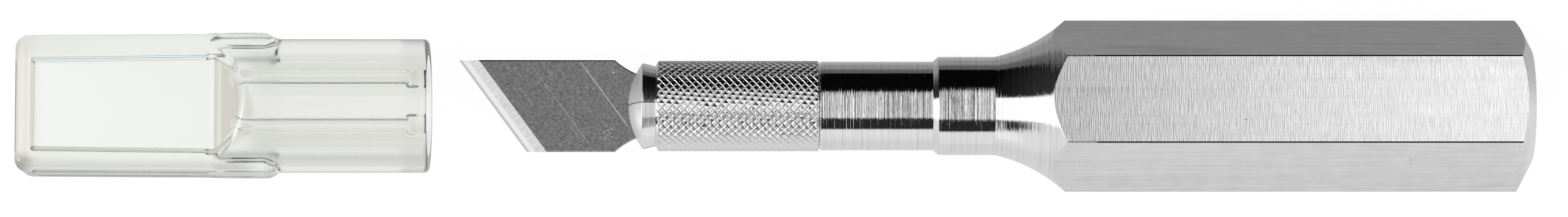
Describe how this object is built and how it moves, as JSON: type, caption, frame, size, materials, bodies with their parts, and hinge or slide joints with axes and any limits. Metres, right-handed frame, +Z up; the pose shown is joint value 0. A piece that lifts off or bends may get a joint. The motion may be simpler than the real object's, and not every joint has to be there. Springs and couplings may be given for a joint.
{
  "type": "hobby craft knife",
  "caption": "Craft knife with a hexagonal metal handle, a knurled collar that closes a split collet on a slanted blade, and a clear push-on safety cap.",
  "frame": {"origin": "centre of the lower flat of the hexagonal grip, on the surface that the knife lies on", "axes": "+X along the knife towards the rear end of the handle, with the blade towards -X; +Y towards the long point of the blade; +Z up"},
  "size_m": [0.1929, 0.0218, 0.019],
  "materials": {
    "handle_metal": "turned and drawn bar, brushed across the flats",
    "collar_metal": "diamond knurled, bright",
    "collet_metal": "turned, bright",
    "blade_steel": "ground, dark body with bright bevels",
    "cap_plastic": "clear moulded plastic, polished"
  },
  "bodies": {
    "handle": {"hex_handle": "handle_metal"},
    "collar": {"knurled_collar": "collar_metal"},
    "collet": {"collet": "collet_metal"},
    "blade": {"blade": "blade_steel"},
    "cap": {"safety_cap": "cap_plastic"}
  },
  "joints": [
    {"name": "chuck_turn", "type": "hinge", "parent": "handle", "child": "collar", "pos_m": [-0.07, 0, 0.00953], "axis": [-1, 0, 0], "range_deg": [0, 540]},
    {"name": "collet_feed", "type": "slide", "parent": "collar", "child": "collet", "axis": [-1, 0, 0], "range_m": [0, 0.0012]},
    {"name": "blade_pull", "type": "slide", "parent": "collet", "child": "blade", "axis": [-1, 0, 0], "range_m": [0, 0.016]},
    {"name": "cap_slide", "type": "slide", "parent": "blade", "child": "cap", "axis": [1, 0, 0], "range_m": [0, 0.0512]}
  ],
  "couplings": [
    {"joint": "chuck_turn", "follows": "collet_feed", "rad_per_m": 7850}
  ]
}
